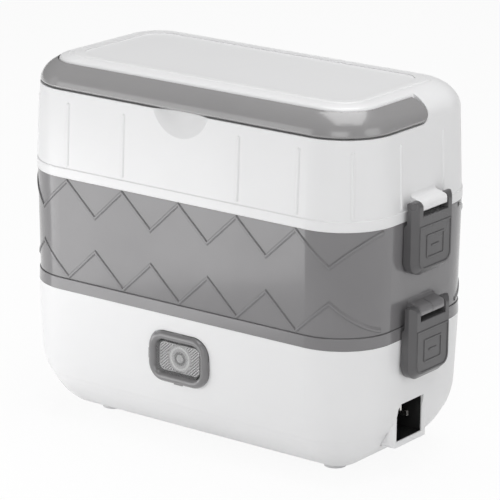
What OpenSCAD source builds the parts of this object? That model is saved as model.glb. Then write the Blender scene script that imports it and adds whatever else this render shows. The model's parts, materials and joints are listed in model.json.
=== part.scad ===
// Electric lunch box: a heated base, a steaming tier and a tall cover, stacked and
// held by latches at both ends, with a handle that folds flush into the cover.
// +Z is up, +X points to the end with the power inlet, -Y to the front with the
// switch. The origin is on the table, under the middle of the box. Millimetres.

/* [Overall] */
// Length of the box at the cover's rim
body_l = 240; // [220:1:290]
// Width of the box at the cover's rim
body_w = 125; // [118:1:150]
// Radius of the corners, seen from above
corner_r = 34; // [33:0.5:38]
// Wall of the moulded shells
wall = 2.4; // [2:0.1:2.9]
// Thickness of the steel of pan and bowls
steel_t = 1; // [0.6:0.1:1.2]
// Gap between shells that slide into each other
fit_gap = 0.4; // [0.3:0.05:0.6]
// Gap under a piece that stands in another
seat_gap = 0.3; // [0.2:0.05:0.5]

/* [Base] */
// Height of the base, from its underside to its rim
base_h = 76.5; // [72:0.5:92]
// Height of the bottom cover above the underside
base_seam_h = 22; // [19:0.5:26]
// How far the base's lower edge rounds inwards
base_round_in = 29.5; // [26:0.5:31]
// Height over which the base's lower edge rounds
base_round_up = 38; // [34:0.5:42]
// Power of the rounded edge: 2 is an ellipse, less is flatter
base_round_power = 1.74; // [1.6:0.02:2]
// Draft of the base wall above the rounding
base_draft = 1.65; // [1:0.05:2]
// How far the base rim stands inside the plan
base_rim_in = 0.2; // [0:0.1:0.5]
// Height of a foot
foot_h = 4; // [3:0.5:6]
// Diameter of a foot
foot_d = 13.6; // [12:0.2:15]
// Distance of the feet from the middle, along the length
foot_x = 80; // [70:1:84]
// Distance of the feet from the middle, along the width
foot_y = 22; // [18:0.5:24]

/* [Heating pan] */
// Distance of the pan's wall from the outside of the box
pan_inset = 17; // [15:0.5:20]
// Depth of the pan
pan_depth = 29; // [24:0.5:31]
// Radius between the pan's wall and floor
pan_round = 8; // [5:0.5:10]
// Depth of the ledge for the pan, below the base rim
ledge_drop = 7.5; // [7:0.5:10]
// Thickness of the seal under the pan's flange
pan_seal_t = 1.2; // [0.8:0.1:2]
// Length of the cast heating plate
plate_l = 144; // [120:1:148]
// Width of the cast heating plate
plate_w = 62; // [56:1:66]
// Thickness of the cast heating plate
plate_t = 4; // [3:0.5:5]
// Diameter of the heating tube
tube_d = 6.5; // [6:0.1:8]
// Distance between the heating tube's two legs
tube_pitch = 38; // [34:1:44]
// Length of the heating tube's straight legs
tube_l = 108; // [90:1:116]

/* [Tier] */
// Height of the steaming tier
tier_h = 66.5; // [60:0.5:80]
// Draft of the tier's wall
tier_draft = 0.95; // [0.6:0.05:1.3]
// Height of the plain band at the tier's foot
tier_band_h = 6.8; // [5:0.2:9]
// How far the band stands out from the wall
tier_band_out = 0.5; // [0.3:0.1:0.7]
// Width of the groove above the band
tier_groove_w = 0.5; // [0.3:0.1:0.8]
// Depth of the groove above the band
tier_groove_in = 0.5; // [0.3:0.1:0.8]
// Spacing of the zigzag's points
zigzag_pitch = 40; // [30:1:48]
// Height of one zigzag row
zigzag_h = 21.2; // [16:0.2:24]
// Width of a zigzag rib at its foot
zigzag_w = 1.8; // [1.4:0.1:2.2]
// How far a zigzag rib stands out
zigzag_out = 0.6; // [0.4:0.1:0.7]
// Diameter of the steam holes in the rack
steam_hole_d = 8; // [6:0.5:10]
// Spacing of the steam holes
steam_hole_pitch = 20; // [16:1:24]

/* [Bowls] */
// Height of a bowl
bowl_h = 56; // [46:0.5:68]
// How much a bowl narrows to its floor, per side
bowl_taper = 3; // [2:0.5:4]
// Gap between a bowl's rim and the pan's wall
bowl_gap = 1.5; // [1:0.1:3]
// Radius between a bowl's wall and floor
bowl_round = 6; // [4:0.5:8]
// Width of a bowl's flange
bowl_flange = 3.5; // [3:0.1:5]
// Gap above the lower bowl's lid
rack_gap = 3; // [2:0.5:5]

/* [Cover] */
// Height of the cover's wall, up to the handle
cover_wall_h = 50.6; // [44:0.2:62]
// Draft of the cover's wall
cover_draft = 2; // [1.5:0.1:2.5]
// How far the cover's shoulder rounds inwards
shoulder_in = 22.4; // [21:0.2:24]
// Height of the cover's shoulder
shoulder_up = 15.9; // [14.5:0.1:18]
// Height of the rim band
rim_band_h = 6; // [5:0.5:8]
// How far the rim band stands out
rim_band_out = 0.3; // [0.2:0.1:0.4]
// Width of a rib on the cover
cover_rib_w = 2.2; // [1.8:0.1:2.6]
// How far a rib stands out
cover_rib_out = 0.6; // [0.4:0.1:0.7]
// Spacing of the ribs along the front and back
cover_rib_pitch = 40; // [34:1:48]
// Distance of the ribs on the ends from the middle
cover_rib_end_y = 20.6; // [20.4:0.2:26]
// Depth of the panel sunk into the top
panel_depth = 0.6; // [0.4:0.1:1]
// Depth of the groove around the panel's frame
frame_groove = 0.3; // [0.2:0.1:0.5]
// Radius of the platform's edge at the channel
platform_r = 3; // [2:0.5:4]
// Width of the notch for the thumb
notch_w = 38.5; // [30:0.5:42]
// Height of the notch for the thumb
notch_h = 13; // [10:0.5:14]
// Depth of the scoop that forms the notch
notch_depth = 5; // [3.5:0.1:5.5]

/* [Handle] */
// Width of the handle's channel in the cover
channel_w = 10.6; // [10:0.2:12]
// Gap around the handle
handle_gap = 0.6; // [0.5:0.1:0.9]
// How far the handle lies below the shoulder's curve
handle_sunk = 0.6; // [0.2:0.1:1]
// Radius of the handle's lower outer edge
handle_r = 1.6; // [1:0.1:2.2]
// Height of the handle's pivot over its underside
pivot_up = 7; // [6:0.2:7.6]
// Diameter of the handle's pins
handle_pin_d = 4; // [3:0.1:5]

/* [Latches] */
// Width of a latch
latch_w = 38; // [34:1:40]
// Length of a latch below its pin
latch_drop = 38.2; // [34:0.2:42]
// Radius of a latch's ears, around the pin
ear_r = 3.8; // [3.6:0.1:4.1]
// Bevel along a latch's sides and foot
latch_bevel = 3.3; // [2.5:0.1:3.6]
// Thickness of a latch's plate
latch_t = 2.4; // [2:0.1:3]
// Width of the lug between the ears
lug_w = 24.2; // [20:0.2:26]
// Radius of the lug's nose, around the pin
lug_r = 3.6; // [3.2:0.1:3.9]
// Distance of the pins out from the end of the box
latch_out = 4.5; // [4.2:0.1:5]
// Height of the upper latches' pins over the tier's rim
upper_pin_up = 7.8; // [7:0.2:10]
// Height of the lower latches' pins over the base's rim
lower_pin_up = 14.8; // [12:0.2:14.8]
// Diameter of the latch pins
latch_pin_d = 3; // [2.5:0.1:3.4]
// Distance of the hook below the pin
hook_drop = 20; // [20:0.5:22]
// How far the catch stands out from the end of the box
catch_out = 2.4; // [2:0.1:2.6]
// Gap between hook and catch
hook_gap = 0.25; // [0.2:0.05:0.4]

/* [Switch] */
// Height of the switch over the table
switch_z = 55.8; // [53:0.1:60]
// Width of the bezel
bezel_w = 41.5; // [39:0.5:44]
// Height of the bezel
bezel_h = 29.6; // [28:0.2:31]
// Corner radius of the bezel
bezel_r = 10.4; // [8:0.2:12]
// How far the bezel stands out from the box's side
bezel_out = 1.8; // [1.2:0.1:2.2]
// Width of the button
button_w = 30.8; // [28:0.2:32]
// Height of the button
button_h = 19; // [17:0.2:20]
// Corner radius of the button
button_r = 5.1; // [4:0.1:7]
// How far the button's face lies behind the bezel's crest
button_sunk = 1.9; // [1.2:0.1:2.2]
// Travel of the button
button_travel = 1.5; // [1:0.1:1.8]
// Gap between button and bezel
button_gap = 0.3; // [0.2:0.05:0.5]

/* [Power inlet] */
// Width of the inlet's opening
inlet_w = 24.5; // [22:0.5:26]
// Height of the inlet's opening
inlet_h = 21.7; // [19:0.1:22]
// Height of the opening's lower edge over the table
inlet_z = 20; // [19.4:0.1:20.6]
// Chamfer on the opening's upper front corner
inlet_chamfer = 2.6; // [1.5:0.1:4]
// Depth of the inlet's socket
inlet_depth = 17; // [15:0.5:18]
// Place of the opening across the pad
inlet_off = -1.4; // [-1.5:0.1:1.5]
// Place of the pad across the end of the box
pad_y = -3; // [-6:1:6]
// Width of the flat pad around the inlet
pad_w = 34.8; // [34:0.2:38]
// Radius of the pad's upright edges
pad_r = 4; // [2:0.5:5]
// Distance of the pad's face in from the end of the box
pad_in = 2.9; // [2.4:0.1:3.4]

/* [Hidden] */
$fn = 72;

white = "#eeeeef";
grey = "#8d8c8e";
dark_grey = "#6e6d6f";
steel = "#c9cbcd";
rubber = "#dcdcdc";
black = "#1b1b1c";
clear = "#b9babc";

// Heights of the joints between the shells
z_under = foot_h;
z_seam = z_under + base_seam_h;
z_round = z_under + base_round_up;
z_base = z_under + base_h;
z_tier = z_base + tier_h;

// Straight runs of the plan between the corner centres
core_l = body_l - 2 * corner_r;
core_w = body_w - 2 * corner_r;
end_x = body_l / 2;
side_y = body_w / 2;
far = 2 * body_l;

// Insides of the shells, as distances out from the corner centres
base_in = corner_r - base_rim_in - wall;
cover_in = corner_r - wall;
channel_in = corner_r - cover_draft - channel_w;
pan_out = corner_r - pan_inset;

// Stack of the pan, the bowls and the rack
ledge_w = 7;
z_ledge = z_base - ledge_drop;
z_flange = z_ledge + pan_seal_t;
z_pan = z_flange + steel_t - pan_depth;
seal_t = 1.3;
lid_t = 2;
lid_step = 1.5;
lid_skirt = 4;
lid_up = seal_t + seat_gap + lid_t + lid_step;
z_bowl = z_pan + steel_t + seat_gap;
bowl_rim = bowl_h;
z_rack = z_bowl + bowl_h + lid_up + rack_gap;
rack_t = 1.2;
rack_ledge_h = 2;
z_upper_bowl = z_rack + rack_t + seat_gap;
bowl_out = pan_out - steel_t - bowl_gap;
bowl_edge = bowl_out + bowl_flange;
z_upper_lid = z_upper_bowl + bowl_h + lid_up;

// Top of the cover, which clears the upper bowl's lid
lid_room = 4;
z_shoulder = max(z_tier + cover_wall_h, z_upper_lid + lid_room + wall + handle_gap);
z_top = z_shoulder + shoulder_up;

// Sliding rims between base, tier and cover
spigot_h = 4;
spigot_t = 2;
spigot_x = base_in - fit_gap;
upstand_h = 4;
upstand_x = cover_in - fit_gap;
upstand_t = 1.8;
seal_ledge = 3;

// Handle and channel
z_channel = z_shoulder - handle_gap;
z_handle_pivot = z_shoulder + pivot_up;
handle_in = channel_in + handle_gap;
pin_fit = 0.05;
handle_pin_grip = 5;

// Latches
z_upper_pin = z_tier + upper_pin_up;
z_lower_pin = z_base + lower_pin_up;
pin_x = end_x + latch_out;
latch_back = 2.3;
latch_flange = 2.6;
latch_round = 9;
ear_round = 2;
lug_gap = 0.15;
plate_top = ear_r + 0.9;
pocket_top = plate_top + 3.2;
grip_out = 0.4;
grip_w = 0.9;
catch_w = 22;

// Switch
bezel_y = side_y + bezel_out;
bezel_seat_y = side_y - 1.7;
bezel_sleeve = 6.8;
board_t = 1.6;
button_face = bezel_y - button_sunk;
button_t = 5;
cap_t = 1.2;
stem_d = 4;

// Power inlet
pad_face = end_x - pad_in;
inlet_y = pad_y + inlet_off;
inlet_wall = 1;
inlet_lip = 0.8;
inlet_back = 2;
inlet_front = pad_face - inlet_lip;
pad_z = inlet_z - inlet_wall - wall;

// Points on an arc around [x, z]
function arc(x, z, r, from, to, steps = 6) =
    [for (i = [0:steps]) let (a = from + (to - from) * i / steps) [x + r * cos(a), z + r * sin(a)]];

// Points on a stretch of a superellipse that falls from the side to the bottom
function rounding(x, z, r_in, r_up, power, from, to, steps) =
    [for (i = [0:steps])
        let (a = from + (to - from) * i / steps)
        [x - r_in * (1 - pow(max(cos(a), 0), 2 / power)), z - r_up * pow(sin(a), 2 / power)]];

// Points on a quarter ellipse that climbs from the side to the top
function shoulder(x, z, r_in, r_up, from = 0, to = 90, steps = 16) =
    [for (i = [0:steps]) let (a = from + (to - from) * i / steps) [x - r_in + r_in * cos(a), z + r_up * sin(a)]];

// Sweeps a section around a rounded rectangle: its x is the distance out from the corner centres
module swept(l, w) {
    for (k = [0:3]) {
        half = (k % 2 == 0 ? l : w) / 2;
        run = k % 2 == 0 ? w : l;
        rotate([0, 0, 90 * k]) {
            translate([half, 0, 0])
                rotate([90, 0, 0])
                    linear_extrude(run, center = true)
                        children();
            translate([half, run / 2, 0])
                rotate_extrude(angle = 90)
                    children();
        }
    }
}

// Sweeps a section around the plan of the box
module around() {
    swept(core_l, core_w)
        children();
}

// Fills the middle of the plan between two heights
module middle(low, high) {
    translate([-core_l / 2, -core_w / 2, low])
        cube([core_l, core_w, high - low]);
}

// Solid whose half outline is swept around the plan, from the first height to the last
module turned(outline) {
    heights = [for (p = outline) p[1]];
    around()
        polygon(outline);
    middle(min(heights), max(heights));
}

module rounded_rectangle(w, h, r) {
    square([w - 2 * r, h], center = true);
    square([w, h - 2 * r], center = true);
    for (x = [-1, 1], y = [-1, 1])
        translate([x * (w / 2 - r), y * (h / 2 - r)])
            circle(r);
}

// Lays a flat outline against the front, from one depth to another
module on_front(y_from, y_to) {
    translate([0, -y_from, 0])
        rotate([90, 0, 0])
            linear_extrude(y_to - y_from)
                children();
}

module at_both_ends() {
    children();
    mirror([1, 0, 0])
        children();
}

// Runs a profile in X and Z across the ends of the box
module across(w) {
    rotate([90, 0, 0])
        linear_extrude(w, center = true)
            children();
}

module at_feet() {
    for (x = [-1, 1], y = [-1, 1])
        translate([x * foot_x, y * foot_y, 0])
            children();
}

// Lug of a latch, standing out from an end whose face lies back by the inset
module lug(z, inset) {
    slope = 75;
    nose_low = 1.5;
    boss_r = 2.6;
    blend = 2.2;
    end_r = 1.5;
    root = -latch_out - inset - wall / 2;
    foot = blend - latch_out - inset;
    rise = lug_r * sin(slope) + (lug_r * cos(slope) - foot) / tan(slope);
    translate([pin_x, 0, z])
        difference() {
            intersection() {
                across(lug_w) {
                    circle(boss_r);
                    polygon(concat([[root, -nose_low]], arc(0, 0, lug_r, -asin(nose_low / lug_r), slope),
                        arc(foot, rise + blend, blend, 270, 180), [[root, rise + blend]]));
                }
                translate([lug_r - lug_w / 2, 0, -far / 2])
                    linear_extrude(far)
                        rounded_rectangle(lug_w, lug_w, end_r);
            }
            rotate([90, 0, 0])
                cylinder(r = latch_pin_d / 2 + pin_fit, h = 2 * lug_w, center = true);
        }
}

// Catch that a latch's hook snaps under
module catch(z) {
    catch_h = 5;
    root = -wall / 2 - 1;
    translate([end_x, 0, z - hook_drop])
        across(catch_w)
            polygon([[root, -0.6], [catch_out, 0], [catch_out, catch_h / 2], [0, catch_h], [root, catch_h]]);
}

// ---- Base ----

function base_rounding(from, to, inset, steps) =
    rounding(corner_r - base_rim_in - base_draft - inset, z_round, base_round_in - inset,
        base_round_up - inset, base_round_power, from, to, steps);

// Distance of the base's face from the corner centres at a height, less an inset
function base_x(z, inset = 0) = corner_r - base_rim_in - inset - (z >= z_round
    ? base_draft * (z_base - z) / (z_base - z_round)
    : base_draft + (base_round_in - inset) * (1 - pow(1 - pow((z_round - z) / (base_round_up - inset),
        base_round_power), 1 / base_round_power)));

// Angle at which the rounding passes a height
function rounding_angle(z, inset) = asin(pow((z_round - z) / (base_round_up - inset), base_round_power / 2));

module inlet_outline(grow, brow = 0) {
    w = inlet_w / 2 + grow;
    low = inlet_z - grow;
    high = inlet_z + inlet_h + grow - brow;
    polygon([[-w, low], [w, low], [w, high], [-w + inlet_chamfer, high], [-w, high - inlet_chamfer]]);
}

// Puts an outline in Y and Z at the inlet, from one X to another
module at_inlet(from, to) {
    translate([from, inlet_y, 0])
        rotate([90, 0, 90])
            linear_extrude(to - from)
                children();
}

// Block of the inlet's pad, its edges rounded, reaching back to the bottom cover
module pad_block(grow) {
    depth = 13;
    low_r = 3;
    w = pad_w + 2 * grow;
    low = pad_z - grow;
    translate([pad_face - depth, pad_y, low])
        intersection() {
            linear_extrude(z_round - low)
                rounded_rectangle(2 * depth, w, pad_r);
            rotate([90, 0, 90])
                linear_extrude(depth)
                    translate([0, z_round / 2])
                        rounded_rectangle(w, z_round, low_r);
        }
}

// Room inside the pad for the inlet
module pad_room() {
    translate([0, pad_y - pad_w / 2 + wall, pad_z + wall])
        cube([pad_face - wall, pad_w - 2 * wall, z_round - pad_z]);
    at_inlet(inlet_front - inlet_depth - inlet_back, inlet_front)
        inlet_outline(inlet_wall);
}

screw_boss_d = 10;
screw_d = 3;
screw_l = 28;
screw_fit = 0.03;
z_screw_head = z_under + 8;
z_boss_top = z_pan - 3;
sleeve_w = button_w + 4;
sleeve_h = button_h + 4;
sleeve_r = button_r + 2;

// Post that takes a screw, with the web that ties it to the wall
module screw_post(x, y) {
    web_low = z_seam + wall;
    mirror([x < 0 ? 1 : 0, 0, 0])
        mirror([0, y < 0 ? 1 : 0, 0])
            difference() {
                union() {
                    translate([foot_x, foot_y, z_seam])
                        cylinder(d = screw_boss_d, h = z_boss_top - z_seam);
                    translate([foot_x - wall / 2, core_w / 2, 0])
                        rotate([90, 0, 90])
                            linear_extrude(wall)
                                polygon([[foot_y - core_w / 2, web_low], [base_x(web_low, wall / 2), web_low],
                                    [base_x(z_boss_top, wall / 2), z_boss_top], [foot_y - core_w / 2, z_boss_top]]);
                }
                translate([foot_x, foot_y, z_seam - 1])
                    cylinder(r = screw_d / 2 + screw_fit, h = z_screw_head + screw_l - z_seam + 2);
            }
}

module base_shell() {
    steps = 8;
    outside = base_rounding(0, rounding_angle(z_seam, 0), 0, steps);
    inside = base_rounding(0, rounding_angle(z_seam, wall), wall, steps);
    ledge_x = base_in - ledge_w;
    color(white) {
        difference() {
            union() {
                around()
                    polygon(concat([[base_x(z_base), z_base]], outside, [for (i = [steps:-1:0]) inside[i]],
                        [[base_x(z_ledge - 2 * wall, wall), z_ledge - 2 * wall], [ledge_x, z_ledge - wall],
                        [ledge_x, z_ledge], [base_in, z_ledge], [base_in, z_base]]));
                pad_block(0);
            }
            pad_room();
            at_inlet(inlet_front - 1, end_x + 1)
                inlet_outline(0);
            on_front(bezel_seat_y, side_y + 1)
                translate([0, switch_z])
                    rounded_rectangle(bezel_w + 2 * fit_gap, bezel_h + 2 * fit_gap, bezel_r + fit_gap);
            on_front(side_y - 3 * wall, side_y + 1)
                translate([0, switch_z])
                    rounded_rectangle(sleeve_w, sleeve_h, sleeve_r);
        }
        for (x = [-1, 1], y = [-1, 1])
            screw_post(x, y);
        at_both_ends()
            catch(z_lower_pin);
    }
}

module bottom_cover() {
    counterbore_d = 7;
    seam_step = 0.55;
    outside = rounding(corner_r - base_rim_in - base_draft - seam_step, z_round, base_round_in - seam_step,
        base_round_up, base_round_power, rounding_angle(z_seam, 0), 90, 12);
    inside = base_rounding(rounding_angle(z_seam, wall), 90, wall, 12);
    color(white)
        difference() {
            union() {
                around()
                    polygon(concat(outside, [[0, z_under], [0, z_under + wall]], [for (i = [12:-1:0]) inside[i]]));
                middle(z_under, z_under + wall);
                at_feet()
                    translate([0, 0, z_under])
                        cylinder(d = screw_boss_d, h = z_seam - z_under);
            }
            pad_block(seat_gap);
            at_feet() {
                translate([0, 0, -1])
                    cylinder(d = counterbore_d, h = z_screw_head + 1);
                cylinder(d = screw_d + fit_gap, h = z_seam + 1);
            }
        }
}

module rubber_feet() {
    color(rubber)
        at_feet() {
            cylinder(d1 = foot_d - 1, d2 = foot_d, h = foot_h);
            cylinder(d = 6.6, h = z_screw_head - 2.6);
        }
}

module bottom_screws() {
    head_d = 5.6;
    head_h = 2.2;
    color(steel)
        at_feet()
            translate([0, 0, z_screw_head]) {
                translate([0, 0, -head_h])
                    cylinder(d = head_d, h = head_h);
                cylinder(d = screw_d, h = screw_l);
            }
}

// ---- Heating ----

// Outline of a pressed pan or bowl, from its outer floor over the flange to its inner floor
function pressed(floor_z, rim_z, floor_x, rim_x, flange_x, r, curl) =
    concat([[0, floor_z]], arc(floor_x - r, floor_z + r, r, -90, 0),
        [[rim_x, rim_z - steel_t], [flange_x - steel_t, rim_z - steel_t], [flange_x - steel_t, rim_z - steel_t - curl],
        [flange_x, rim_z - steel_t - curl], [flange_x, rim_z], [rim_x - steel_t, rim_z]],
        arc(floor_x - r, floor_z + r, r - steel_t, 0, -90), [[0, floor_z + steel_t]]);

module heating_pan() {
    flange_x = base_in - fit_gap;
    color(steel) {
        around()
            polygon(concat([[0, z_pan]], arc(pan_out - pan_round, z_pan + pan_round, pan_round, -90, 0),
                [[pan_out, z_flange], [flange_x, z_flange], [flange_x, z_flange + steel_t],
                    [pan_out - steel_t, z_flange + steel_t]],
                arc(pan_out - pan_round, z_pan + pan_round, pan_round - steel_t, 0, -90), [[0, z_pan + steel_t]]));
        middle(z_pan, z_pan + steel_t);
    }
}

module pan_seal() {
    color(rubber)
        around()
            polygon([[base_in - ledge_w + 0.6, z_ledge], [base_in - 1, z_ledge], [base_in - 1, z_flange],
                [base_in - ledge_w + 0.6, z_flange]]);
}

module heating_plate() {
    color(steel)
        translate([0, 0, z_pan - plate_t])
            linear_extrude(plate_t)
                rounded_rectangle(plate_l, plate_w, 12);
}

module heating_tube() {
    bend = tube_pitch / 2;
    pin_l = 10;
    color(dark_grey)
        translate([0, 0, z_pan - plate_t - tube_d / 2]) {
            for (y = [-1, 1]) {
                translate([-tube_l / 2, y * bend, 0])
                    rotate([0, 90, 0])
                        cylinder(d = tube_d, h = tube_l);
                translate([tube_l / 2, y * bend, 0])
                    rotate([0, 90, 0])
                        cylinder(d = 3, h = pin_l);
            }
            translate([-tube_l / 2, 0, 0])
                rotate([0, 0, 90])
                    rotate_extrude(angle = 180)
                        translate([bend, 0])
                            circle(d = tube_d);
        }
}

module thermostat() {
    cap_d = 16;
    body_d = 14;
    cap_h = 3;
    body_h = 5;
    color(dark_grey)
        translate([0, 0, z_pan - plate_t - cap_h]) {
            cylinder(d = cap_d, h = cap_h);
            translate([0, 0, -body_h])
                cylinder(d = body_d, h = body_h);
            for (x = [-1, 1])
                translate([x * 5 - 3, -0.4, -body_h - 4])
                    cube([6, 0.8, 5]);
        }
}

module thermal_fuse() {
    fuse_d = 5;
    fuse_l = 16;
    color(white)
        translate([-32, 0, z_pan - plate_t - fuse_d / 2 - 0.1])
            rotate([90, 0, 0]) {
                cylinder(d = fuse_d, h = fuse_l, center = true);
                cylinder(d = 1.2, h = fuse_l + 8, center = true);
            }
}

module power_inlet() {
    brow = 1.2;
    color(black)
        difference() {
            at_inlet(inlet_front - inlet_depth - inlet_back, inlet_front)
                inlet_outline(inlet_wall);
            at_inlet(inlet_front - inlet_depth, inlet_front + 1)
                inlet_outline(0, brow);
        }
}

module inlet_pins() {
    pin = [12, 1.6, 3.2];
    color(steel)
        for (k = [-1, 0, 1])
            translate([inlet_front - inlet_depth, inlet_y + 7 * k - pin[1] / 2, inlet_z + (k == 0 ? 14 : 9)])
                cube(pin);
}

// ---- Switch ----

// Sweeps a section around the switch, its y being the depth
module around_switch(w, h, r) {
    translate([0, 0, switch_z])
        rotate([90, 0, 0])
            swept(w - 2 * r, h - 2 * r)
                children();
}

module switch_bezel() {
    tab_w = 6;
    tab_out = 0.35;
    opening_w = button_w + 2 * button_gap;
    ring = (bezel_w - opening_w) / 2;
    shelf = side_y - 0.9;
    color(grey) {
        around_switch(bezel_w, bezel_h, bezel_r)
            polygon(concat([[bezel_r - ring, bezel_seat_y], [bezel_r, bezel_seat_y]],
                [for (i = [0:12]) [bezel_r - ring / 2 * (1 - cos(15 * i)), shelf + (bezel_y - shelf) * sin(15 * i)]]));
        difference() {
            union() {
                on_front(bezel_seat_y, side_y)
                    translate([0, switch_z]) {
                        square([bezel_w + 2 * tab_out, tab_w], center = true);
                        square([tab_w, bezel_h + 2 * tab_out], center = true);
                    }
                on_front(bezel_seat_y - bezel_sleeve, bezel_seat_y)
                    translate([0, switch_z])
                        rounded_rectangle(sleeve_w - 2 * fit_gap, sleeve_h - 2 * fit_gap, sleeve_r - fit_gap);
            }
            on_front(bezel_seat_y - bezel_sleeve - 1, bezel_y + 1)
                translate([0, switch_z])
                    rounded_rectangle(opening_w, button_h + 2 * button_gap, button_r + button_gap);
        }
    }
}

// Clear cap of the button, hollow behind its face
module switch_button() {
    ring_d = 13;
    nub_d = 4.8;
    nub_out = 1.6;
    color(clear) {
        difference() {
            on_front(button_face - button_t, button_face)
                translate([0, switch_z])
                    rounded_rectangle(button_w, button_h, button_r);
            on_front(button_face - button_t - 1, button_face - cap_t)
                translate([0, switch_z])
                    rounded_rectangle(button_w - 2 * cap_t, button_h - 2 * cap_t, button_r - cap_t);
        }
        on_front(button_face, button_face + 0.35)
            translate([0, switch_z])
                difference() {
                    circle(d = ring_d);
                    circle(d = ring_d - 2);
                }
        on_front(button_face, button_face + nub_out)
            translate([0, switch_z])
                circle(d = nub_d);
    }
}

// Plate behind the cap: its rim touches the cap's face, and its stem works the switch
module switch_plate() {
    rim_w = 0.6;
    rim_h = 0.3;
    plate_r = button_r - cap_t;
    w = button_w - 2 * cap_t;
    h = button_h - 2 * cap_t;
    back = button_face - button_t;
    color(grey)
        difference() {
            union() {
                on_front(back, button_face - cap_t)
                    translate([0, switch_z])
                        rounded_rectangle(w, h, plate_r);
                on_front(back - board_t - 4.2, back)
                    translate([0, switch_z])
                        circle(d = stem_d);
            }
            on_front(button_face - cap_t - rim_h, button_face)
                translate([0, switch_z])
                    rounded_rectangle(w - 2 * rim_w, h - 2 * rim_w, plate_r - rim_w);
        }
}

module switch_board() {
    front = bezel_seat_y - bezel_sleeve;
    color("#3f6b4f")
        on_front(front - board_t, front)
            translate([0, switch_z])
                difference() {
                    rounded_rectangle(button_w + 2.6, button_h + 2.6, button_r);
                    circle(d = stem_d + 1);
                }
}

module push_switch() {
    front = bezel_seat_y - bezel_sleeve - board_t;
    depth = 5.5;
    color(black)
        difference() {
            on_front(front - depth, front)
                translate([0, switch_z])
                    rounded_rectangle(9, 9, 1);
            on_front(front - 3.4, front + 1)
                translate([0, switch_z])
                    circle(d = stem_d + 0.3);
        }
}

module indicator_lamp() {
    front = bezel_seat_y - bezel_sleeve;
    color(white)
        on_front(front, front + 1.2)
            translate([9, switch_z])
                square([3.5, 2.8], center = true);
}

// ---- Bowls ----

module bowl(floor_z) {
    color(steel) {
        around()
            polygon(pressed(floor_z, floor_z + bowl_h, bowl_out - bowl_taper, bowl_out, bowl_edge, bowl_round, 2));
        middle(floor_z, floor_z + steel_t);
    }
}

module lid(floor_z) {
    rim_z = floor_z + bowl_h;
    under = rim_z + seal_t + seat_gap;
    skirt = bowl_edge + fit_gap;
    panel = bowl_out - 7;
    color(clear) {
        around()
            polygon([[0, under + lid_step], [panel - 1.5, under + lid_step], [panel, under], [skirt, under],
                [skirt, rim_z - lid_skirt], [skirt + lid_t, rim_z - lid_skirt], [skirt + lid_t, under + lid_t],
                [panel + 0.8, under + lid_t], [panel - 0.7, under + lid_t + lid_step], [0, under + lid_t + lid_step]]);
        middle(under + lid_step, under + lid_step + lid_t);
    }
}

module lid_seal(floor_z) {
    rim_z = floor_z + bowl_h;
    color(rubber)
        around()
            polygon([[bowl_out - 0.4, rim_z + seat_gap], [bowl_edge - 0.4, rim_z + seat_gap],
                [bowl_edge - 0.4, rim_z + seal_t + seat_gap], [bowl_out - 0.4, rim_z + seal_t + seat_gap]]);
}

module lower_bowl() {
    bowl(z_bowl);
}

module lower_bowl_lid() {
    lid(z_bowl);
}

module lower_lid_seal() {
    lid_seal(z_bowl);
}

module upper_bowl() {
    bowl(z_upper_bowl);
}

module upper_bowl_lid() {
    lid(z_upper_bowl);
}

module upper_lid_seal() {
    lid_seal(z_upper_bowl);
}

// ---- Tier ----

z_band = z_base + tier_band_h;
function tier_x(z) = corner_r - tier_draft * (z_tier - z) / (z_tier - z_band);
rack_edge = tier_x(z_rack) - wall - fit_gap;
rack_ledge_x = rack_edge - 3;

// How far a zigzag rib of some width reaches up and down from its middle line
function zigzag_half(w) = w / 2 * sqrt(1 + pow(2 * zigzag_h / zigzag_pitch, 2));

// Rib whose middle line zigzags between two heights, starting from the first in the middle
module zigzag(w, first, second) {
    reach = ceil(end_x / zigzag_pitch) + 1;
    half = zigzag_half(w);
    line = [for (i = [-2 * reach:2 * reach]) [i * zigzag_pitch / 2, i % 2 == 0 ? first : second]];
    polygon(concat([for (p = line) p + [0, half]], [for (i = [len(line) - 1:-1:0]) line[i] - [0, half]]));
}

// Both zigzag rows, standing out from the tier's front
module zigzag_rows(w, out) {
    low = z_band + tier_groove_w;
    high = z_tier - 0.2;
    half = zigzag_half(zigzag_w);
    intersection() {
        around()
            polygon([[tier_x(high) - 1, high], [tier_x(high) + out, high], [tier_x(low) + out, low],
                [tier_x(low) - 1, low]]);
        on_front(core_w / 2 + 8, side_y + 5) {
            zigzag(w, z_tier - half, z_tier - zigzag_h + half);
            zigzag(w, z_band + half, z_band + zigzag_h - half);
        }
    }
}

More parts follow.
